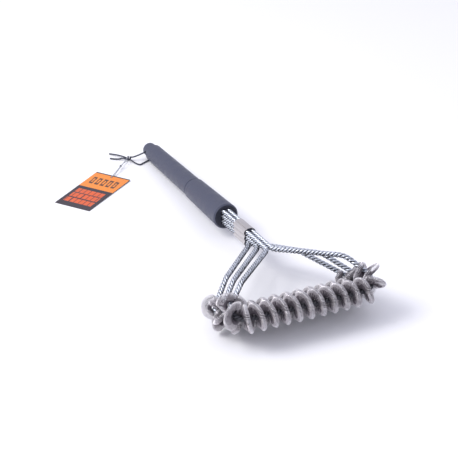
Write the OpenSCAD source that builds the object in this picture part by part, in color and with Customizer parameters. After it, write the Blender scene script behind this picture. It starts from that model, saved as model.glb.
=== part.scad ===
// Grill cleaning brush: round tapered handle, six wire ropes bound into one shaft,
// three triangular wire loops and a coiled wire brush wound on the bar of each loop.

/* [Handle] */
// length of the handle from its butt to its front face
handle_len = 240.4; // [180:1:300]
// radius of the front face
front_r = 15; // [12:0.5:18]
// radius of the neck at the butt, where the cord goes through
neck_r = 8.8; // [6:0.1:12]
// radius just ahead of the first ring
ring_r = 11.1; // [9:0.1:14]
// radius just behind the middle ring
mid_rear_r = 12.3; // [9:0.1:15]
// radius just ahead of the middle ring
mid_front_r = 13.3; // [9:0.1:15]
// place of the middle ring, from the butt
mid_ring_x = 149.4; // [100:1:200]
// radius of the hole for the hanging cord
hang_hole_r = 2.2; // [1.5:0.1:3]

/* [Wire loops] */
// radius of one wire strand
strand_r = 1.38; // [1:0.01:2]
// distance between neighbouring ropes in the shaft
rope_pitch = 6.1; // [5.8:0.1:8]
// where the lowest loop leaves the shaft, from the butt
first_apex_x = 308; // [290:1:330]
// how much further ahead the next loop leaves
apex_step = 22; // [15:0.5:30]
// where the bar of the lowest loop is, from the butt
first_bar_x = 422; // [400:0.5:440]
// how much further ahead the next bar is
bar_step = 17; // [15:0.5:24]
// how far the lowest bar is below its rope in the shaft
bar_drop = 18.2; // [5:0.01:25]
// how much higher each next bar is
bar_lift = 8; // [5:0.1:10]
// rise of the left legs over the shaft before they turn down to the bar
left_rise = 2.5; // [0:0.1:8]
// the same rise of the right leg, on the lowest loop
right_rise = 4.5; // [0:0.1:14]
// from the middle of the shaft to the sharp left corner of a loop
left_y = 102; // [80:0.5:110]
// and to the sharp right corner
right_y = 78; // [70:0.5:110]
// bend radius at the ends of a bar
corner_bend = 13; // [10:0.5:16]

/* [Coils] */
// outer radius of a coil
coil_r = 15; // [12:0.1:20]
// distance between two turns of a coil
coil_pitch = 13.1; // [12:0.1:18]
// width of the wound band
band_w = 4.6; // [3:0.1:6]

/* [Clamp sleeve] */
// where the sleeve starts, from the butt
sleeve_x = 275.4; // [260:0.1:285]
// length of the sleeve
sleeve_len = 28; // [20:1:40]
// wall of the sleeve
sleeve_wall = 0.8; // [0.5:0.1:1.5]

/* [Cord and tag] */
// radius of the hanging cord
cord_r = 0.95; // [0.6:0.05:1.2]
// length of the hang tag
tag_len = 92; // [60:1:120]
// width of the hang tag
tag_w = 48.5; // [30:0.5:70]

/* [Hidden] */
tilt = 4;
butt_round = 2.5;
ring_x = 15.4;
front_round = 1.5;
half_len = 235;
axis_y = 9.8;
lift = ring_r * cos(tilt) - (ring_x + 2) * sin(tilt);
strand_up = 1.66;
strand_low = 0.83;
strand_side = 1.44;
rope_env = strand_up + strand_r;
rope_y = rope_pitch / 2;
wire_in_x = 197.4;
apex_bend = 12;
leg_bend = 25;
left_turn = 0.58;
right_turn = 0.4;
right_turn_step = 0.13;
right_rise_step = 3;
anchor_x = 191.4;
anchor_len = 26;
anchor_r = 12.2;
plug_len = 18;
plug_r = 13.2;
hollow_r = 8;
hollow_x = 30;
hang_x = 9.9;
coil_in = 3.4;
coil_steps = 24;
coil_leg = 8;
over_room = 7;
under_room = 6;
end_before = 6;
mesh_start = 2 * atan2(bar_step, bar_lift);
knot_at = [-232, -19.2, 3.2];
knot_r = 2.8;
cord_route = [
  [-231.2, -17.4, 3.9],
  [-229, -10.2, 6.5],
  [-225.1, -0.2, 10.6],
  [-225.1, 9.8, 10.6],
  [-225.1, 18.8, 10.6],
  [-224, 22.8, 8],
  [-222.5, 21.8, 3.4],
  [-221.8, 15.8, 1.1],
  [-221, 4.8, 1],
  [-216, -5.2, 1],
  [-213, -10.7, 1],
  [-217, -14.2, 1.2],
  [-225, -17.2, 2],
  [-230, -19, 2.6]
];
tail_long = [[-233.2, -21.2, 2.8], [-236, -25.2, 2.4], [-240, -32.2, 1.2], [-246, -39.2, 1]];
tail_short = [[-234, -19.8, 3.6], [-239, -23.2, 3.4], [-249, -28.2, 2.6], [-260, -35.2, 1]];
string_r = 0.4;
string_route = [
  [-213.6, -37.1, 3.3],
  [-205, -44.2, 3.6],
  [-197, -51.7, 3],
  [-193.4, -56.2, 1.4],
  [-193.8, -55.8, 0.6],
  [-196.5, -52.7, 0.5],
  [-200, -48.7, 1.4],
  [-210, -37.7, 5],
  [-222, -27.2, 5.6],
  [-228.6, -22.1, 4],
  [-227.5, -24.2, 2.4],
  [-222, -30.7, 2.6],
  [-215.4, -35.7, 3.3]
];
lock_at = [-214.5, -36.4, 3.3];
lock_size = [3.6, 2, 2.2];
tag_at = [-167.5, -89.1, 0];
tag_turn = -52;
tag_lift = 1;
tag_t = 0.5;
tag_hole_r = 1.6;
tag_hole_in = 4.6;
$fn = 32;

// The brush is built level, then set down on ring and rear coil beside the middle of the frame.
module posed() {
  translate([-half_len, axis_y, lift])
    rotate([0, -tilt, 0])
      children();
}

// ---- vectors
function unit(v) = v / norm(v);
function turn(a, b) = acos(max(-1, min(1, a * b)));

// Point list of one loop, run from the right-hand shaft end to the left-hand one.
function rope_z(i) = (i - 1) * rope_pitch;
function apex_x(i) = first_apex_x + i * apex_step;
function bar_x(i) = first_bar_x + i * bar_step;
function bar_z(i) = rope_z(0) - bar_drop + i * bar_lift;
function side_y(m) = m > 0 ? right_y : left_y;
function side_rise(i, m) = m > 0 ? right_rise + i * right_rise_step : left_rise;
function turn_at(i, m) = m > 0 ? right_turn + i * right_turn_step : left_turn;
function corner_at(i, m) = [bar_x(i), m * side_y(m), bar_z(i)];
function mid_at(i, m) = [
  apex_x(i) + turn_at(i, m) * (bar_x(i) - apex_x(i)),
  m * (rope_y + turn_at(i, m) * (side_y(m) - rope_y)),
  rope_z(i) + side_rise(i, m)
];
function loop_pts(i) = [
  [wire_in_x, -rope_y, rope_z(i)],
  [apex_x(i), -rope_y, rope_z(i)],
  mid_at(i, -1),
  corner_at(i, -1),
  corner_at(i, 1),
  mid_at(i, 1),
  [apex_x(i), rope_y, rope_z(i)],
  [wire_in_x, rope_y, rope_z(i)]
];

bends = [0, apex_bend, leg_bend, corner_bend, corner_bend, leg_bend, apex_bend, 0];

// Places and directions along a point list, with a bend at each inner point.
function bend_at(p, r, k) =
  let (d = unit(p[k] - p[k - 1]))
  let (e = unit(p[k + 1] - p[k]))
  let (ang = turn(d, e))
  let (n = unit(e - (d * e) * d))
  let (o = p[k] - d * r[k] * tan(ang / 2) + n * r[k])
  let (m = ceil(ang / 15))
  [
    for (j = [0 : m])
      let (a = ang * j / m)
      [o + (d * sin(a) - n * cos(a)) * r[k], d * cos(a) + n * sin(a)]
  ];
function rod_path(p, r) =
  let (z = len(p) - 1)
  concat(
    [[p[0], unit(p[1] - p[0])]],
    [for (k = [1 : z - 1]) each bend_at(p, r, k)],
    [[p[z], unit(p[z] - p[z - 1])]]
  );
function rod_ring(at, rod_r, m) =
  let (t = at[1])
  let (up = unit([0, 0, 1] - t[2] * t))
  let (side = cross(up, t))
  [for (j = [0 : m - 1]) at[0] + rod_r * (up * cos(j * 360 / m) + side * sin(j * 360 / m))];

// One strand keeps its place beside the middle line of its rope.
function beside(at, side, up) =
  let (t = at[1])
  let (left = unit(cross([0, 0, 1], t)))
  [at[0] + left * side + cross(t, left) * up, t];

module strand(i, side, up) {
  path = rod_path(loop_pts(i), bends);
  posed()
    tube([for (at = path) rod_ring(beside(at, side, up), strand_r, 12)], 12);
}

// ---- coil: a band wound around the bar, both end bends and the foot of both legs
function leg_dir(k, m) = unit(mid_at(k, m) - corner_at(k, m));
function bend_ang(k, m) = turn([0, m, 0], leg_dir(k, m));
function bar_half(k, m) = side_y(m) - corner_bend * tan(bend_ang(k, m) / 2);
function bend_len(k, m) = corner_bend * bend_ang(k, m) * PI / 180;
function coil_end(k, m) = bar_half(k, m) + bend_len(k, m) + coil_leg;

// Place, direction and inner side of one half of a loop, s mm from the middle of the shaft.
function bend_n(k, m) = unit(leg_dir(k, m) - (leg_dir(k, m) * [0, m, 0]) * [0, m, 0]);
function arc_at(k, m, a) = [
  [0, m * (bar_half(k, m) + corner_bend * sin(a)), 0] + bend_n(k, m) * corner_bend * (1 - cos(a)),
  [0, m * cos(a), 0] + bend_n(k, m) * sin(a),
  bend_n(k, m) * cos(a) - [0, m * sin(a), 0]
];
function half_at(k, m, s) =
  s < bar_half(k, m)
    ? [[0, m * s, 0], [0, m, 0], [0, 0, 0]]
    : s < bar_half(k, m) + bend_len(k, m)
      ? arc_at(k, m, (s - bar_half(k, m)) / corner_bend * 180 / PI)
      : [
          arc_at(k, m, bend_ang(k, m))[0]
            + (s - bar_half(k, m) - bend_len(k, m)) * leg_dir(k, m),
          leg_dir(k, m),
          [0, 0, 0]
        ];
function path_at(k, s) =
  let (m = s < 0 ? -1 : 1)
  let (h = half_at(k, m, abs(s)))
  [h[0], m * h[1], h[2]];

// Neighbouring loops keep clear of each other: the band is held inside its own layer.
next_loop = [bar_step, 0, bar_lift];
function layer_gap(t) = next_loop - (next_loop * t) * t;
function cut_r(r, room, c) = c > 0.01 ? min(r, room / c) : r;
function end_share(k, s) =
  min(1, max(0, (abs(s) - bar_half(k, s < 0 ? -1 : 1) + end_before) / 6));
function band_out(at, e, u, k) =
  let (t = at[1])
  let (g = layer_gap(t))
  let (room = norm(g) / 2 - 1)
  let (c = u * unit(g))
  let (up = unit([0, 0, 1] - t[2] * t))
  let (ahead = k < 2 ? cut_r(cut_r(coil_r, room, c), over_room, u * up) : coil_r)
  let (both = k > 0 ? cut_r(cut_r(ahead, room, -c), under_room, -u * up) : ahead)
  let (bent = cut_r(both, corner_bend - 6, u * at[2]))
  max(coil_in + 1.5, coil_r * (1 - e) + bent * e);

module coil(k, hand, start) {
  first_s = -coil_end(k, -1);
  n = floor((coil_end(k, 1) - first_s) / coil_pitch * coil_steps);
  rings = [
    for (j = [0 : n])
      let (s = first_s + j * coil_pitch / coil_steps)
      let (at = path_at(k, s))
      let (t = at[1])
      let (up = unit([0, 0, 1] - t[2] * t))
      let (fore = cross(t, up))
      let (a = start + hand * 360 * s / coil_pitch)
      let (u = up * cos(a) + fore * sin(a))
      let (out = band_out(at, end_share(k, s), u, k))
      [
        at[0] + u * coil_in - hand * t * band_w / 2,
        at[0] + u * out - hand * t * band_w / 2,
        at[0] + u * out + hand * t * band_w / 2,
        at[0] + u * coil_in + hand * t * band_w / 2
      ]
  ];
  posed()
    translate([bar_x(k), 0, bar_z(k)])
      tube(rings, 4);
}

// Closed skin over a list of rings with m points each.
module tube(rings, m) {
  n = len(rings) - 1;
  pts = [for (r = rings) each r];
  sides = [
    for (j = [0 : n - 1])
      for (c = [0 : m - 1])
        let (a = j * m + c)
        let (b = j * m + (c + 1) % m)
        each [[a, b, b + m], [a, b + m, a + m]]
  ];
  first = [for (c = [m - 1 : -1 : 0]) c];
  last = [for (c = [0 : m - 1]) n * m + c];
  polyhedron(points = pts, faces = concat([first], sides, [last]), convexity = 10);
}

// ---- free cords: a smooth line through hand-set points
function line_at(p, k, x) =
  let (z = len(p) - 1)
  let (a = p[max(k - 1, 0)])
  let (b = p[k])
  let (c = p[k + 1])
  let (d = p[min(k + 2, z)])
  b + (c - a) * x / 2 + (a * 2 - b * 5 + c * 4 - d) * x * x / 2
    + (b * 3 - a - c * 3 + d) * x * x * x / 2;
function line_pts(p, n) = concat(
  [for (k = [0 : len(p) - 2]) for (j = [0 : n - 1]) line_at(p, k, j / n)],
  [p[len(p) - 1]]
);
function soft_ring(q, k, r) =
  let (z = len(q) - 1)
  let (t = unit(q[min(k + 1, z)] - q[max(k - 1, 0)]))
  let (ref = unit([0.5, 0, 1]))
  let (up = unit(ref - (ref * t) * t))
  let (side = cross(up, t))
  [for (j = [0 : 7]) q[k] + r * (up * cos(j * 45) + side * sin(j * 45))];

module soft_tube(route, n, r) {
  q = line_pts(route, n);
  tube([for (k = [0 : len(q) - 1]) soft_ring(q, k, r)], 8);
}

module hang_cord() {
  color([0.12, 0.12, 0.14])
    soft_tube(cord_route, 4, cord_r);
}

module cord_knot() {
  color([0.14, 0.14, 0.16])
    translate(knot_at)
      sphere(r = knot_r);
}

module cord_tails() {
  color([0.12, 0.12, 0.14]) {
    soft_tube(tail_long, 3, cord_r);
    soft_tube(tail_short, 3, cord_r * 0.8);
  }
}

module tag_string() {
  color([0.85, 0.87, 0.9])
    soft_tube(string_route, 4, string_r);
}

module tag_lock() {
  color([0.3, 0.3, 0.33])
    translate(lock_at)
      rotate([0, 0, -42])
        cube(lock_size, center = true);
}

module hang_tag() {
  color([0.96, 0.57, 0.18])
    translate(tag_at)
      rotate([0, 0, tag_turn])
        translate([-tag_len / 2, 0, tag_lift])
          rotate([0, asin(tag_lift / tag_len), 0])
            difference() {
              translate([0, -tag_w / 2, 0])
                cube([tag_len, tag_w, tag_t]);
              translate([tag_hole_in, 0, 0])
                cylinder(r = tag_hole_r, h = 4 * tag_t, center = true);
            }
}

// ---- handle
module handle_shell() {
  color([0.16, 0.16, 0.19])
    posed()
      difference() {
        rotate([0, 90, 0])
          rotate_extrude($fn = 96)
            difference() {
              union() {
                polygon([
                  [0, 0],
                  [neck_r - butt_round, 0],
                  [neck_r, butt_round],
                  [neck_r, ring_x],
                  [ring_r - 0.5, ring_x + 1],
                  [ring_r, ring_x + 2],
                  [mid_rear_r, mid_ring_x - 2],
                  [mid_rear_r - 1.2, mid_ring_x - 1.2],
                  [mid_rear_r - 1.2, mid_ring_x],
                  [mid_front_r, mid_ring_x + 1.5],
                  [front_r, handle_len - front_round],
                  [front_r - front_round, handle_len],
                  [0, handle_len]
                ]);
                intersection() {
                  translate([neck_r - butt_round, butt_round])
                    circle(r = butt_round, $fn = 48);
                  square([neck_r, butt_round]);
                }
              }
              translate([0, hollow_x])
                square([hollow_r, anchor_x - hollow_x + 1]);
              translate([0, anchor_x])
                square([anchor_r, handle_len - plug_len - anchor_x + 1]);
              translate([0, handle_len - plug_len])
                square([plug_r, plug_len + 1]);
            }
        translate([hang_x, 0, 0])
          rotate([90, 0, 0])
            cylinder(r = hang_hole_r, h = 4 * neck_r, center = true);
      }
}

module rope_shapes(r) {
  for (i = [-1 : 1])
    for (y = [-rope_y, rope_y])
      translate([y, i * rope_pitch])
        circle(r = r, $fn = 48);
}

module along_x() {
  multmatrix([[0, 0, 1, 0], [1, 0, 0, 0], [0, 1, 0, 0], [0, 0, 0, 1]])
    children();
}

module front_plug() {
  color([0.1, 0.1, 0.15])
    posed()
      translate([handle_len - plug_len, 0, 0])
        along_x()
          linear_extrude(height = plug_len)
            difference() {
              circle(r = plug_r, $fn = 96);
              rope_shapes(rope_env + 0.1);
              square([rope_pitch, 2 * rope_pitch], center = true);
            }
}

module wire_anchor() {
  color([0.55, 0.56, 0.58])
    posed()
      translate([anchor_x, 0, 0])
        along_x()
          difference() {
            cylinder(r = anchor_r, h = anchor_len, $fn = 96);
            for (i = [-1 : 1])
              for (m = [-1, 1])
                for (s = [[0, strand_up], [strand_side, -strand_low], [-strand_side, -strand_low]])
                  translate([m * rope_y + s[0], i * rope_pitch + s[1], wire_in_x - anchor_x])
                    cylinder(r = strand_r, h = anchor_len);
          }
}

module clamp_sleeve() {
  color([0.72, 0.68, 0.64])
    posed()
      translate([sleeve_x, 0, 0])
        along_x()
          linear_extrude(height = sleeve_len)
            difference() {
              union() {
                rope_shapes(rope_env + 0.05 + sleeve_wall);
                square([rope_pitch, 3.6 * rope_pitch], center = true);
              }
              rope_shapes(rope_env + 0.05);
              square([rope_pitch, 2 * rope_pitch], center = true);
            }
}

// ---- wire strands, three to a loop
module lower_loop_wire_a() {
  color([0.75, 0.78, 0.82])
    strand(0, 0, strand_up);
}

module lower_loop_wire_b() {
  color([0.72, 0.75, 0.79])
    strand(0, strand_side, -strand_low);
}

module lower_loop_wire_c() {
  color([0.69, 0.72, 0.76])
    strand(0, -strand_side, -strand_low);
}

module middle_loop_wire_a() {
  color([0.75, 0.78, 0.82])
    strand(1, 0, strand_up);
}

module middle_loop_wire_b() {
  color([0.72, 0.75, 0.79])
    strand(1, strand_side, -strand_low);
}

module middle_loop_wire_c() {
  color([0.69, 0.72, 0.76])
    strand(1, -strand_side, -strand_low);
}

module upper_loop_wire_a() {
  color([0.75, 0.78, 0.82])
    strand(2, 0, strand_up);
}

module upper_loop_wire_b() {
  color([0.72, 0.75, 0.79])
    strand(2, strand_side, -strand_low);
}

module upper_loop_wire_c() {
  color([0.69, 0.72, 0.76])
    strand(2, -strand_side, -strand_low);
}

// ---- coils: the middle one is wound the other way, so its turns mesh with both others
module lower_coil() {
  color([0.5, 0.48, 0.47])
    coil(0, 1, 0);
}

module middle_coil() {
  color([0.5, 0.48, 0.47])
    coil(1, -1, mesh_start);
}

module upper_coil() {
  color([0.5, 0.48, 0.47])
    coil(2, 1, 0);
}

handle_shell();
front_plug();
wire_anchor();
clamp_sleeve();
lower_loop_wire_a();
lower_loop_wire_b();
lower_loop_wire_c();
middle_loop_wire_a();
middle_loop_wire_b();
middle_loop_wire_c();
upper_loop_wire_a();
upper_loop_wire_b();
upper_loop_wire_c();
lower_coil();
middle_coil();
upper_coil();
hang_cord();
cord_knot();
cord_tails();
tag_string();
tag_lock();
hang_tag();
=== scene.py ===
import math

import bpy
import numpy as np
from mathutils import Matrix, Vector


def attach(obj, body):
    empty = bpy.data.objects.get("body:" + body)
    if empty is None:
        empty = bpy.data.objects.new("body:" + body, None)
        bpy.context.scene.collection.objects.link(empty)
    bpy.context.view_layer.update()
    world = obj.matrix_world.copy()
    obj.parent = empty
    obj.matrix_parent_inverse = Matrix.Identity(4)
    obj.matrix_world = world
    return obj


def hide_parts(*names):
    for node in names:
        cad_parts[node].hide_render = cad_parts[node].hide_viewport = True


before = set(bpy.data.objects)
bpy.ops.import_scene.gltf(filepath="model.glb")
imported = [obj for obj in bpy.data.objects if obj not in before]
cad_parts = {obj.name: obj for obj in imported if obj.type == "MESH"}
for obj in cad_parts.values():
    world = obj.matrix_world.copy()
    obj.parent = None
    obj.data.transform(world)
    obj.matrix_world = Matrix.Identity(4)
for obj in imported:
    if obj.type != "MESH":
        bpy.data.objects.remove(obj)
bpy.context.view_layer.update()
MM = 0.001

# ---------------------------------------------------------------- camera, at the photo's place
AZ, EL, DIST = math.radians(65.63), math.radians(28.19), 1.5
AIM = Vector((-0.0121, 0.021, 0.0))
BACK = Vector((math.sin(AZ) * math.cos(EL), -math.cos(AZ) * math.cos(EL), math.sin(EL)))
cam = bpy.data.objects.new("camera", bpy.data.cameras.new("camera"))
bpy.context.scene.collection.objects.link(cam)
cam.location = AIM + BACK * DIST
cam.rotation_mode = "QUATERNION"
cam.rotation_quaternion = (-BACK).to_track_quat("-Z", "Y")
cam.data.sensor_width = 36
cam.data.lens = 36 * 1308.3 / 458
cam.data.clip_start, cam.data.clip_end = 0.05, 20
bpy.context.scene.camera = cam


# ---------------------------------------------------------------- materials
ROUGH_SPREAD = 0.1
RELIEF = 0.0004


def material(name, base, rough, metallic=0.0, spread=0.1, scale=200.0, bump=0.0, stretch=(1, 1, 1)):
    """Principled finish whose colour, roughness and relief vary with noise in object space."""
    m = bpy.data.materials.new(name)
    m.use_nodes = True
    t = m.node_tree
    p = t.nodes["Principled BSDF"]
    p.inputs["Metallic"].default_value = metallic
    co = t.nodes.new("ShaderNodeTexCoord")
    mp = t.nodes.new("ShaderNodeMapping")
    mp.inputs["Scale"].default_value = stretch
    t.links.new(co.outputs["Object"], mp.inputs["Vector"])
    fine = t.nodes.new("ShaderNodeTexNoise")
    fine.inputs["Scale"].default_value = scale
    fine.inputs["Detail"].default_value = 4
    t.links.new(mp.outputs["Vector"], fine.inputs["Vector"])
    broad = t.nodes.new("ShaderNodeTexNoise")
    broad.inputs["Scale"].default_value = scale / 9
    broad.inputs["Detail"].default_value = 3
    t.links.new(co.outputs["Object"], broad.inputs["Vector"])
    ramp = t.nodes.new("ShaderNodeValToRGB")
    lo = [c * (1 - spread) for c in base] + [1]
    hi = [min(1, c * (1 + spread)) for c in base] + [1]
    ramp.color_ramp.elements[0].color, ramp.color_ramp.elements[1].color = lo, hi
    ramp.color_ramp.elements[0].position, ramp.color_ramp.elements[1].position = 0.35, 0.65
    half_broad = t.nodes.new("ShaderNodeMath")
    half_broad.operation = "MULTIPLY"
    half_broad.inputs[1].default_value = 0.5
    t.links.new(broad.outputs["Fac"], half_broad.inputs[0])
    mean = t.nodes.new("ShaderNodeMath")
    mean.operation = "MULTIPLY_ADD"
    mean.inputs[1].default_value = 0.5
    t.links.new(fine.outputs["Fac"], mean.inputs[0])
    t.links.new(half_broad.outputs[0], mean.inputs[2])
    t.links.new(mean.outputs[0], ramp.inputs["Fac"])
    t.links.new(ramp.outputs["Color"], p.inputs["Base Color"])
    r = t.nodes.new("ShaderNodeMapRange")
    r.inputs["From Min"].default_value, r.inputs["From Max"].default_value = 0.3, 0.7
    r.inputs["To Min"].default_value = max(0.02, rough - ROUGH_SPREAD)
    r.inputs["To Max"].default_value = min(1, rough + ROUGH_SPREAD)
    t.links.new(broad.outputs["Fac"], r.inputs["Value"])
    t.links.new(r.outputs["Result"], p.inputs["Roughness"])
    if bump:
        b = t.nodes.new("ShaderNodeBump")
        b.inputs["Strength"].default_value = bump
        b.inputs["Distance"].default_value = RELIEF
        t.links.new(fine.outputs["Fac"], b.inputs["Height"])
        t.links.new(b.outputs["Normal"], p.inputs["Normal"])
    return m


M_HANDLE = material("handle_plastic", (0.056, 0.062, 0.098), 0.46, spread=0.12, scale=900, bump=0.25)
# Dark plastic of the plug; the same colour is painted as shade in the handle's ring groove and on the sleeve's
# front rim.
M_FACE_AND_SHADE = material("plug_plastic", (0.013, 0.015, 0.03), 0.6, spread=0.15, scale=700, bump=0.2)
M_ANCHOR = material("anchor_steel", (0.5, 0.51, 0.53), 0.4, 1.0, scale=300)
M_SLEEVE = material("sleeve_steel", (0.58, 0.555, 0.55), 0.42, 0.85, spread=0.12, scale=160, bump=0.15,
                    stretch=(0.2, 3, 3))
M_WIRE = material("wire_steel", (0.6, 0.635, 0.7), 0.34, 0.85, spread=0.12, scale=350, bump=0.1)
# Near-black steel used as painted shade on the rope strands.
M_WIRE_SHADE = material("wire_steel_painted_shade", (0.07, 0.07, 0.08), 0.5, 0.7, spread=0.2, scale=350, bump=0.1)
# Coil wire in three tones: a painted highlight at the outer rims of the turns, the plain wire, and painted
# shade towards the core.
M_COIL_HIGHLIGHT = material("coil_wire_painted_highlight", (0.88, 0.85, 0.87), 0.3, 0.85, spread=0.15, scale=160)
M_COIL = material("coil_wire", (0.56, 0.53, 0.55), 0.4, 0.8, spread=0.2, scale=120)
M_COIL_SHADE = material("coil_wire_painted_shade", (0.18, 0.16, 0.18), 0.5, 0.7, spread=0.25, scale=120)
M_CORD = material("cord_fabric", (0.05, 0.055, 0.075), 0.8, spread=0.3, scale=1500, bump=0.5)
M_STRING = material("string_plastic", (0.38, 0.4, 0.45), 0.2, spread=0.05, scale=200)
M_LOCK = material("lock_plastic", (0.06, 0.06, 0.07), 0.4, scale=400)
M_ORANGE = material("tag_orange", (0.86, 0.27, 0.045), 0.55, spread=0.06, scale=300, bump=0.05)
M_CHAR = material("tag_charcoal", (0.045, 0.036, 0.045), 0.55, spread=0.1, scale=300, bump=0.05)
M_RED = material("tag_red", (0.68, 0.12, 0.04), 0.55, spread=0.08, scale=300, bump=0.05)
M_INK = material("tag_ink", (0.13, 0.06, 0.035), 0.55, spread=0.1, scale=300)


# ---------------------------------------------------------------- mesh tools
def mesh_object(name, verts, faces, mats, smooth=True, mat_index=None):
    """Object from vertices in metres and faces, with one material or one chosen per face."""
    me = bpy.data.meshes.new(name)
    me.from_pydata([tuple(v) for v in verts], [], [tuple(f) for f in faces])
    me.validate()
    for m in mats:
        me.materials.append(m)
    if mat_index is not None:
        me.polygons.foreach_set("material_index", list(mat_index))
    me.polygons.foreach_set("use_smooth", [smooth] * len(me.polygons))
    me.update()
    o = bpy.data.objects.new(name, me)
    bpy.context.scene.collection.objects.link(o)
    return o


def unit(v):
    """One vector, or each row of an array, at length one."""
    return v / np.linalg.norm(v, axis=-1, keepdims=True)


def sweep(points, radius, sides, start_ref=(0.4, 0.1, 1.0)):
    """Vertices and faces of a round tube along points, with a frame carried along so it never twists."""
    p = np.asarray(points, float)
    n = len(p)
    t = np.empty_like(p)
    t[1:-1] = p[2:] - p[:-2]
    t[0], t[-1] = p[1] - p[0], p[-1] - p[-2]
    t = unit(t)
    up = np.array(start_ref, float)
    ups = np.empty_like(p)
    for i in range(n):
        up = up - t[i] * (up @ t[i])
        up = up / np.linalg.norm(up)
        ups[i] = up
    side = np.cross(t, ups)
    a = np.arange(sides) * 2 * np.pi / sides
    v = (p[:, None, :] + radius * (np.cos(a)[None, :, None] * ups[:, None, :]
                                   + np.sin(a)[None, :, None] * side[:, None, :]))
    v = v.reshape(-1, 3)
    i = np.arange(n - 1)[:, None] * sides
    j = np.arange(sides)[None, :]
    k = (j + 1) % sides
    f = np.stack([i + j, i + k, i + sides + k, i + sides + j], -1).reshape(-1, 4).tolist()
    f.append(list(range(sides - 1, -1, -1)))
    f.append(list(range((n - 1) * sides, n * sides)))
    return v, f


def smooth_line(pts, n):
    """Catmull-Rom line through given points."""
    p = np.asarray(pts, float)
    q = []
    for k in range(len(p) - 1):
        a, b, c, d = p[max(k - 1, 0)], p[k], p[k + 1], p[min(k + 2, len(p) - 1)]
        for x in np.arange(n) / n:
            q.append(b + (c - a) * x / 2 + (2 * a - 5 * b + 4 * c - d) * x * x / 2
                     + (3 * b - a - 3 * c + d) * x ** 3 / 2)
    q.append(p[-1])
    return np.array(q)


# ---------------------------------------------------------------- cords
KNOT = np.array((-232, -19.2, 3.2))
KDIR = unit(np.array((-0.8, -0.6, 0.0)))
KSIDE = np.array((-KDIR[1], KDIR[0], 0.0))
KUP = np.array((0.0, 0.0, 1.0))
UPPER_DIA, LOWER_DIA, STRING_DIA = 0.0019, 0.0018, 0.0009
FLOOR_GAP = 0.00003


def knot_turns(radius, turns, phase, length, lift):
    """A few turns of one strand round the other, inside the knot."""
    out = []
    for x in np.linspace(0, 1, int(10 * turns) + 1):
        a = phase + 2 * math.pi * turns * x
        along = KDIR * length * (x - 0.5)
        out.append(KNOT + along + KUP * (lift + radius * math.sin(a)) + KSIDE * radius * math.cos(a))
    return out[1:]


def cord_piece(name, pts, dia, mat, sides=10):
    """Round cord through points in mm, resting on the floor where it is lowest, and its centre line."""
    line = smooth_line(pts, 6) * MM
    line[:, 2] = np.maximum(line[:, 2], dia / 2 + FLOOR_GAP)
    v, f = sweep(line, dia / 2, sides)
    return mesh_object(name, v, f, [mat]), line


def stands_for(o, body, slot, *nodes):
    """Sets on which body a piece rides and the CAD nodes it takes the place of; slot is not used."""
    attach(o, body)
    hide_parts(*nodes)


# from the cross hole over the neck, through the knot to the tail lying further forward
upper_pts = [(-225.1, 9.8, 10.6), (-225.1, 3.8, 10.6), (-225.6, -0.7, 10.3), (-227.4, -7.2, 7.6),
             (-229.6, -13.6, 5.2)]
upper_pts += knot_turns(1.9, 1.6, 1.2, 5.0, 0.3)
upper_pts += [(-236.4, -24.8, 2.6), (-239, -29.7, 1.4), (-242, -34.2, 1.0), (-246, -39.2, 1.0)]
# out of the far side of the hole, down and under the neck, through the knot to the longer tail
lower_pts = [(-225.1, 10.2, 10.6), (-225.1, 15.8, 10.6), (-224.8, 20.3, 9.6), (-223.6, 22.4, 6.6),
             (-222.4, 21.2, 3.2), (-221.8, 15.8, 1.15), (-221, 4.8, 1.0), (-216.5, -4.7, 1.0),
             (-213.4, -10.4, 1.0), (-216.6, -13.6, 1.1), (-223.5, -16.4, 1.8), (-228, -17.8, 2.6)]
lower_pts += knot_turns(1.1, 1.0, 4.2, 4.0, 0.2)
lower_pts += [(-237.6, -22.6, 3.3), (-243, -25.2, 3.1), (-250, -28.8, 2.3), (-260, -35.2, 0.9)]
# from the catch through the card's hole, back over the knot and to the catch again
string_pts = [(-213.2, -37.4, 3.4), (-205, -44.2, 3.6), (-197, -51.7, 3), (-193.4, -56.2, 1.4),
              (-193.8, -55.8, 0.6), (-196.5, -52.7, 0.55), (-200, -48.7, 1.4), (-210, -37.7, 5),
              (-222, -27.2, 6.2), (-229.5, -20.8, 6.4), (-233, -19.2, 4.4), (-232, -21.2, 1.0),
              (-227.5, -24.8, 1.6), (-222, -30.7, 2.6), (-215.8, -35.2, 3.3)]

upper_cord, upper_line = cord_piece("hang_cord_upper", upper_pts, UPPER_DIA, M_CORD)
lower_cord, lower_line = cord_piece("hang_cord_lower", lower_pts, LOWER_DIA, M_CORD)
tag_loop, tag_line = cord_piece("tag_loop", string_pts, STRING_DIA, M_STRING, 8)
stands_for(upper_cord, "cord", "cord_fabric", "hang_cord", "cord_knot")
stands_for(lower_cord, "cord", "cord_fabric", "hang_cord", "cord_tails")
stands_for(tag_loop, "tag", "string_plastic", "tag_string")


def rounded_box(name, centre, size, yaw, r, mat):
    """Box turned about Z with rounded edges."""
    corners = [(x, y, z) for x in (-0.5, 0.5) for y in (-0.5, 0.5) for z in (-0.5, 0.5)]
    sides = [(0, 1, 3, 2), (4, 6, 7, 5), (0, 4, 5, 1), (2, 3, 7, 6), (0, 2, 6, 4), (1, 5, 7, 3)]
    c, s = math.cos(yaw), math.sin(yaw)
    turned = np.array(corners) * size @ np.array(((c, s, 0), (-s, c, 0), (0, 0, 1)))
    o = mesh_object(name, turned + centre, sides, [mat])
    b = o.modifiers.new("edge", "BEVEL")
    b.width, b.segments = r, 3
    return o


lock = rounded_box("tag_catch", np.array((-214.5, -36.4, 3.3)) * MM, (0.0036, 0.002, 0.0022),
                   math.radians(-42), 0.0005, M_LOCK)
stands_for(lock, "tag", "lock_plastic", "tag_lock")

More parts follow.
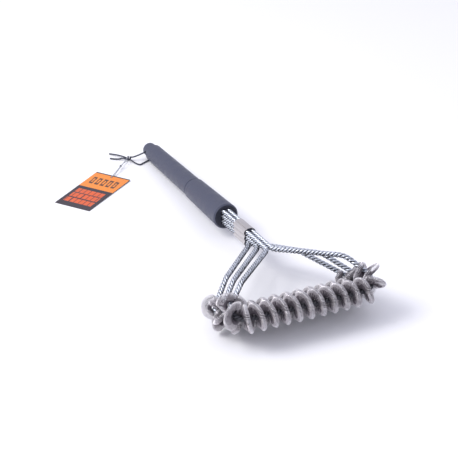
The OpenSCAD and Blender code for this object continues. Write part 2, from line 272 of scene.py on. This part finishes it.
# ---------------------------------------------------------------- hang tag: a card with plain printed fields
TAG_L, TAG_W, TAG_T, TAG_LIFT = 92.0, 48.5, 0.5, 1.0
TAG_HOLE_X, TAG_HOLE_R = 4.6, 1.6
TAG_TURN = math.radians(-52)
TAG_MIDDLE = (-167.5, -89.1)
ORANGE, CHARCOAL, RED, INK = range(4)
EDGE_X, FIELD_X = 2.2, 40.5
MARK_X, MARK_HALF_X, MARK_HALF_Y, MARK_STEP = 21.5, 9.0, 19.5, 7.8
BLOCK_X0, BLOCK_X1, BLOCK_HALF_Y, BLOCK_ROW, BLOCK_STEP = 47.0, 84.0, 19.5, 12.4, 6.5


def tag_at(x, y, z):
    """Card coordinates in mm (x from the hole end, y across, z over its underside) to the frame."""
    slope = math.asin(TAG_LIFT / TAG_L)
    along = x * math.cos(slope) + z * math.sin(slope) - TAG_L / 2
    height = TAG_LIFT - x * math.sin(slope) + z * math.cos(slope)
    c, s = math.cos(TAG_TURN), math.sin(TAG_TURN)
    return np.array((TAG_MIDDLE[0] + along * c - y * s, TAG_MIDDLE[1] + along * s + y * c, height)) * MM


def row_of_marks(x, y):
    """Ink of the orange field: a row of leaning hollow marks."""
    d = abs(x - MARK_X)
    if abs(y) >= MARK_HALF_Y or d >= MARK_HALF_X:
        return ORANGE
    k = (y + MARK_HALF_Y) / MARK_STEP
    off = abs(k - math.floor(k) - 0.5 - 0.012 * (x - MARK_X))
    return INK if off < 0.33 and (d > 5 or off > 0.13) else ORANGE


def rows_of_blocks(x, y):
    """Ink of the charcoal field: rows of red blocks, each row shifted against the last."""
    if not BLOCK_X0 < x < BLOCK_X1 or abs(y) >= BLOCK_HALF_Y:
        return CHARCOAL
    row = (x - BLOCK_X0) / BLOCK_ROW
    k = (y + BLOCK_HALF_Y) / BLOCK_STEP + 0.35 * math.floor(row)
    gap = row - math.floor(row) > 0.84 or k - math.floor(k) > 0.86
    return CHARCOAL if gap else RED


def tag_ink(x, y):
    if x < EDGE_X:
        return CHARCOAL
    return row_of_marks(x, y) if x < FIELD_X else rows_of_blocks(x, y)


def tag_card():
    """Card of small square cells with a round hole, each cell's top in its ink, the rest charcoal."""
    xs = sorted(set(np.round(np.concatenate([np.linspace(0, TAG_L, 116), [EDGE_X, FIELD_X]]), 3)))
    ys = np.round(np.linspace(-TAG_W / 2, TAG_W / 2, 62), 3)
    columns, rows = len(xs) - 1, len(ys) - 1
    verts = [tag_at(x, y, z) for x in xs for y in ys for z in (0, TAG_T)]

    def corner(i, j, top):
        return (i * len(ys) + j) * 2 + top

    def middle(i, j):
        return (xs[i] + xs[i + 1]) / 2, (ys[j] + ys[j + 1]) / 2

    def empty(i, j):
        if not (0 <= i < columns and 0 <= j < rows):
            return True
        x, y = middle(i, j)
        return math.hypot(x - TAG_HOLE_X, y) < TAG_HOLE_R

    faces, inks = [], []
    for i in range(columns):
        for j in range(rows):
            if empty(i, j):
                continue
            ring = [(i, j), (i + 1, j), (i + 1, j + 1), (i, j + 1)]
            beside = [(i, j - 1), (i + 1, j), (i, j + 1), (i - 1, j)]
            faces.append([corner(*c, 1) for c in ring])
            inks.append(tag_ink(*middle(i, j)))
            faces.append([corner(*c, 0) for c in (ring[0], ring[3], ring[2], ring[1])])
            inks.append(CHARCOAL)
            for k, cell in enumerate(beside):
                if empty(*cell):
                    a, b = ring[k], ring[(k + 1) % 4]
                    faces.append((corner(*a, 0), corner(*b, 0), corner(*b, 1), corner(*a, 1)))
                    inks.append(CHARCOAL)
    return mesh_object("hang_tag_card", verts, faces, [M_ORANGE, M_CHAR, M_RED, M_INK], False, inks)


stands_for(tag_card(), "tag", "tag_card", "hang_tag")

# ---------------------------------------------------------------- brush geometry, as in the CAD source
TILT = math.radians(4)
HALF = 235.0
AXIS_Y = 9.8
RING_R, RING_X = 11.1, 15.4
BRUSH_LIFT = RING_R * math.cos(TILT) - (RING_X + 2) * math.sin(TILT)
PITCH, ROPE_Y = 6.1, 3.05
WIRE_IN_X = 197.4
APEX_X, APEX_STEP = 308.0, 22.0
BAR_X, BAR_STEP, BAR_DROP, BAR_LIFT = 422.0, 17.0, 18.2, 8.0
CORNER_BEND, APEX_BEND, LEG_BEND = 13.0, 12.0, 25.0
COIL_R, COIL_IN, COIL_PITCH, COIL_LEG = 15.0, 3.4, 13.1, 8.0
SIDE_Y = {-1: 102.0, 1: 78.0}
LEVELS = ("lower", "middle", "upper")


def posed(p):
    """Brush coordinates in mm (x from the butt along the shaft) to the frame in metres."""
    p = np.asarray(p, float)
    c, s = math.cos(TILT), math.sin(TILT)
    x = p[..., 0] * c - p[..., 2] * s - HALF
    z = p[..., 0] * s + p[..., 2] * c + BRUSH_LIFT
    return np.stack([x, p[..., 1] + AXIS_Y, z], -1) * MM


def rope_z(i):
    return (i - 1) * PITCH


def apex_x(i):
    return APEX_X + APEX_STEP * i


def bar_x(i):
    return BAR_X + BAR_STEP * i


def bar_z(i):
    return rope_z(0) - BAR_DROP + BAR_LIFT * i


def corner_at(i, m):
    return np.array((bar_x(i), m * SIDE_Y[m], bar_z(i)))


def mid_at(i, m):
    share, rise = (0.4 + 0.13 * i, 4.5 + 3 * i) if m > 0 else (0.58, 2.5)
    return np.array((apex_x(i) + share * (bar_x(i) - apex_x(i)), m * (ROPE_Y + share * (SIDE_Y[m] - ROPE_Y)),
                     rope_z(i) + rise))


def loop_points(i):
    z = rope_z(i)
    return np.array([(WIRE_IN_X, -ROPE_Y, z), (apex_x(i), -ROPE_Y, z), mid_at(i, -1), corner_at(i, -1),
                     corner_at(i, 1), mid_at(i, 1), (apex_x(i), ROPE_Y, z), (WIRE_IN_X, ROPE_Y, z)], float)


def rounded(p, bends, step):
    """Points about step mm apart along a point list with rounded inner points, and their distances."""
    out = [p[0]]
    for k in range(1, len(p) - 1):
        d, e = unit(p[k] - p[k - 1]), unit(p[k + 1] - p[k])
        ang = math.acos(max(-1, min(1, float(d @ e))))
        n = unit(e - (d @ e) * d)
        r = bends[k]
        o = p[k] - d * r * math.tan(ang / 2) + n * r
        m = max(3, int(ang * r / step))
        for a in np.linspace(0, ang, m + 1):
            out.append(o + (d * math.sin(a) - n * math.cos(a)) * r)
    out.append(p[-1])
    out = np.array(out)
    s = np.concatenate([[0], np.cumsum(np.linalg.norm(np.diff(out, axis=0), axis=1))])
    m = int(s[-1] / step)
    x = np.linspace(0, s[-1], m + 1)
    return np.stack([np.interp(x, s, out[:, c]) for c in range(3)], -1), x


# ---------------------------------------------------------------- ropes of three twisted strands
LAY = 13.4
STRAND_OFF, STRAND_R, STRAND_SIDES = 1.62, 1.34, 10
BENDS = [0, APEX_BEND, LEG_BEND, CORNER_BEND, CORNER_BEND, LEG_BEND, APEX_BEND, 0]
# Where the strands get painted shade: faces turned towards the rope's core, faces turned down, the flanks of
# the left legs, and the rope near a coil bar.
GROOVE, UNDER, FLANK = 0.3, -0.15, 0.7
UNDER_COIL, LEFT_LEG = 9.0, -6.0


def face_means(at_verts):
    """Value of each side face of a strand from the values at its rings of vertices."""
    across = (at_verts + np.roll(at_verts, -1, axis=1)) / 2
    return (across[1:] + across[:-1]) / 2


def painted_shade_faces(pts, side, spine, core, verts, i):
    """Faces painted near-black as shade: those turned into the grooves between strands, under the coils,
    facing down, and on the flanks of the left legs.
    """
    ring = verts.reshape(len(spine), STRAND_SIDES, 3) - spine[:, None, :]
    facing = face_means((ring * unit(spine - core)[:, None, :]).sum(2) / (STRAND_R * MM))
    normal = unit(ring + np.roll(ring, -1, axis=1))
    under = (normal[1:, :, 2] + normal[:-1, :, 2]) / 2 < UNDER
    flank = (np.abs((normal * side[:, None, :]).sum(2))[1:] > FLANK) & (pts[1:, 1] < LEFT_LEG)[:, None]
    hidden = np.abs(pts[1:, 0] - bar_x(i)) < UNDER_COIL
    return (facing < GROOVE) | under | flank | hidden[:, None]


for i, level in enumerate(LEVELS):
    pts, s = rounded(loop_points(i), BENDS, 1.1)
    t = unit(np.gradient(pts, axis=0))
    up = unit(np.array((0, 0, 1.0)) - t[:, 2:3] * t)
    side = np.cross(t, up)
    for k, letter in enumerate("abc"):
        phase = math.pi / 2 + k * 2 * math.pi / 3 + 2 * math.pi * s / LAY
        line = pts + STRAND_OFF * (np.sin(phase)[:, None] * up + np.cos(phase)[:, None] * side)
        spine, core = posed(line), posed(pts)
        v, f = sweep(spine, STRAND_R * MM, STRAND_SIDES, start_ref=(0, 0, 1))
        # Faces in painted shade take the second, near-black material.
        dim = np.append(painted_shade_faces(pts, side, spine, core, v, i).reshape(-1), (False, False)).astype(int)
        o = mesh_object(f"{level}_rope_strand_{letter}", v, f, [M_WIRE, M_WIRE_SHADE], mat_index=dim)
        stands_for(o, "brush", "wire_steel", f"{level}_loop_wire_{letter}")

# ---------------------------------------------------------------- coils of fine wire
PER_TURN, STEPS, HALF_BAND, FINE = 64, 10, 2.9, 0.27
OVER_ROOM, NEXT_ROOM, BEND_ROOM, LEAST_BAND = 6.0, 1.5, 4.0, 2.5
NEAR = 0.01
# Above RIM_SHARE of the reach from the core a turn gets the painted highlight, below CORE_SHARE painted shade.
RIM_SHARE, CORE_SHARE = 0.84, 0.5


class Half:
    """One half of a loop from the middle of the shaft: straight bar, end bend, foot of the leg."""

    def __init__(self, k, m):
        self.leg = unit(mid_at(k, m) - corner_at(k, m))
        self.y = np.array((0.0, m, 0.0))
        self.ang = math.acos(float(self.leg @ self.y))
        self.bar = SIDE_Y[m] - CORNER_BEND * math.tan(self.ang / 2)
        self.bend = CORNER_BEND * self.ang
        self.end = self.bar + self.bend + COIL_LEG
        self.n = unit(self.leg - (self.leg @ self.y) * self.y)

    def at(self, a):
        """Place, direction and inward direction (nil on a straight) at distances a from the shaft."""
        ang = np.clip((a - self.bar) / CORNER_BEND, 0, self.ang)
        on_bar = np.minimum(a, self.bar)
        extra = np.maximum(a - self.bar - self.bend, 0)
        p = (on_bar[:, None] * self.y + self.n * (CORNER_BEND * (1 - np.cos(ang)))[:, None]
             + self.y * (CORNER_BEND * np.sin(ang))[:, None] + extra[:, None] * self.leg)
        t = np.cos(ang)[:, None] * self.y + np.sin(ang)[:, None] * self.n
        inner = np.cos(ang)[:, None] * self.n - np.sin(ang)[:, None] * self.y
        inner = inner * ((ang > 0) & (ang < self.ang))[:, None]
        return p, t, inner


NEXT = np.array((BAR_STEP, 0, BAR_LIFT))


def coil_out(t, u, inner, e, k):
    """Outer radius of the winding: full on the bar, held in by its neighbours and by the bend at the ends."""
    g = NEXT - (t @ NEXT)[:, None] * t
    room = np.linalg.norm(g, axis=1) / 2 + NEXT_ROOM
    c = (u * unit(g)).sum(1)
    out = np.full(len(t), COIL_R)

    def hold(out, limit, share):
        """Holds the radius to limit in the direction whose share of u is given."""
        return np.where(share > NEAR, np.minimum(out, limit / np.maximum(share, NEAR)), out)

    if k < 2:
        out = hold(out, room, c)
    if k > 0:
        out = hold(out, room, -c)
    out = hold(out, CORNER_BEND - BEND_ROOM, (u * inner).sum(1))
    return np.maximum(COIL_IN + LEAST_BAND, COIL_R * (1 - e) + out * e)


# start of the middle coil, so that its turns lie in the gaps of its neighbours
FACING = 2 * math.atan2(BAR_STEP, BAR_LIFT)


def winding(k, hand, seed):
    """Line of a flattened spring of fine wire that winds round the bar, and how far out each point is."""
    rng = np.random.default_rng(seed)
    left, right = Half(k, -1), Half(k, 1)
    loops = int((left.end + right.end) / COIL_PITCH * PER_TURN)
    n = loops * STEPS
    x = np.linspace(0, 1, n + 1)
    s = -left.end + (left.end + right.end) * x
    wob = np.interp(x, np.linspace(0, 1, loops // 3), rng.normal(0, 1, loops // 3))
    wob2 = np.interp(x, np.linspace(0, 1, loops), rng.normal(0, 1, loops))
    pl, tl, il = left.at(np.abs(s))
    pr, tr, ir = right.at(np.abs(s))
    neg = (s < 0)[:, None]
    p, t, inner = np.where(neg, pl, pr), np.where(neg, -tl, tr), np.where(neg, il, ir)
    e = np.clip((np.abs(s) - np.where(s < 0, left.bar, right.bar) + OVER_ROOM) / OVER_ROOM, 0, 1)
    up = unit(np.array((0, 0, 1.0)) - t[:, 2:3] * t)
    fore = np.cross(t, up)
    a = (FACING if k == 1 else 0.0) + hand * 2 * math.pi * s / COIL_PITCH + 0.03 * wob
    u = np.cos(a)[:, None] * up + np.sin(a)[:, None] * fore
    out = coil_out(t, u, inner, e, k) - 0.2 - 0.2 * np.abs(wob2)
    phi = 2 * math.pi * loops * x
    mid, semi = (out + COIL_IN) / 2, (out - COIL_IN) / 2
    line = p + u * (mid + semi * np.cos(phi))[:, None] + t * ((HALF_BAND + 0.12 * wob2) * np.sin(phi))[:, None]
    return posed(line + np.array((bar_x(k), 0, bar_z(k)))), (1 + np.cos(phi)) / 2


for k, level in enumerate(LEVELS):
    line, reach = winding(k, -1 if k == 1 else 1, seed=k + 3)
    v, f = sweep(line, FINE * MM, 4)
    # Each face's reach picks its tone: painted highlight near the outer rim, painted shade near the core.
    share = np.append(np.repeat((reach[1:] + reach[:-1]) / 2, 4), (0.5, 0.5))
    o = mesh_object(f"{level}_coil_winding", v, f, [M_COIL, M_COIL_HIGHLIGHT, M_COIL_SHADE],
                    mat_index=np.where(share > RIM_SHARE, 1, np.where(share < CORE_SHARE, 2, 0)))
    stands_for(o, "brush", "coil_wire", f"{level}_coil")

# ---------------------------------------------------------------- CAD nodes that stay
for node, mat in (("handle_shell", M_HANDLE), ("front_plug", M_FACE_AND_SHADE), ("wire_anchor", M_ANCHOR),
                  ("clamp_sleeve", M_SLEEVE)):
    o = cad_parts[node]
    o.data.materials.clear()
    o.data.materials.append(mat)
FACE_X, GROOVE_X, GROOVE_R, RIM_X = 238.7, (149.0, 151.0), 12.2, 303.0
axis = posed(np.array([(0, 0, 0), (1, 0, 0)]))
ax = unit(axis[1] - axis[0])


def shade(node, mat, wanted):
    """Second material on the faces of a CAD node picked by place along the shaft, radius and facing."""
    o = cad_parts[node]
    o.data.materials.append(mat)
    for poly in o.data.polygons:
        c = np.array(o.matrix_world @ poly.center) - axis[0]
        n = np.array(o.matrix_world.to_3x3() @ poly.normal)
        x = c @ ax
        if wanted(x / MM, np.linalg.norm(c - x * ax) / MM, n @ ax):
            poly.material_index = 1


def on_handle(x, r, facing):
    """Front face, in the plug's own dark plastic, or the bottom of the ring groove, in painted shade."""
    return (x > FACE_X and facing > 0.9) or (GROOVE_X[0] < x < GROOVE_X[1] and r < GROOVE_R)


def on_sleeve(x, r, facing):
    """Front rim, in painted shade."""
    return x > RIM_X and facing > 0.7


# Dark plastic on the handle's front face; painted shade in the ring groove and on the sleeve's front rim.
shade("handle_shell", M_FACE_AND_SHADE, on_handle)
shade("clamp_sleeve", M_FACE_AND_SHADE, on_sleeve)

# ---------------------------------------------------------------- stage
FLOOR_HALF, FLOOR_Z = 6, -0.0002
floor_corners = [(x * FLOOR_HALF, y * FLOOR_HALF, FLOOR_Z) for x, y in ((-1, -1), (1, -1), (1, 1), (-1, 1))]
floor = mesh_object("floor", floor_corners, [(0, 1, 2, 3)], [])
fm = bpy.data.materials.new("floor")
fm.use_nodes = True
fp = fm.node_tree.nodes["Principled BSDF"]
fp.inputs["Base Color"].default_value = (0.95, 0.95, 0.965, 1)
fp.inputs["Roughness"].default_value = 0.7
floor.data.materials.append(fm)

world = bpy.data.worlds.new("world")
bpy.context.scene.world = world
world.use_nodes = True
sky = world.node_tree.nodes["Background"]
sky.inputs["Color"].default_value = (0.87, 0.875, 1.0, 1)
sky.inputs["Strength"].default_value = 0.86


def softbox(name, place, size, power, colour):
    """Round area light aimed at the middle of the frame."""
    d = bpy.data.lights.new(name, "AREA")
    d.shape, d.size, d.energy, d.color = "DISK", size, power, colour
    o = bpy.data.objects.new(name, d)
    bpy.context.scene.collection.objects.link(o)
    o.location = place
    o.rotation_mode = "QUATERNION"
    o.rotation_quaternion = (-Vector(place)).to_track_quat("-Z", "Y")


softbox("key", (-0.3, -1.4, 1.6), 1.1, 21, (1.0, 0.985, 0.955))
softbox("top", (-0.2, -1.6, 2.0), 1.6, 13, (0.98, 0.98, 1.0))
bpy.context.scene.view_settings.view_transform = "Standard"
bpy.context.scene.view_settings.look = "None"
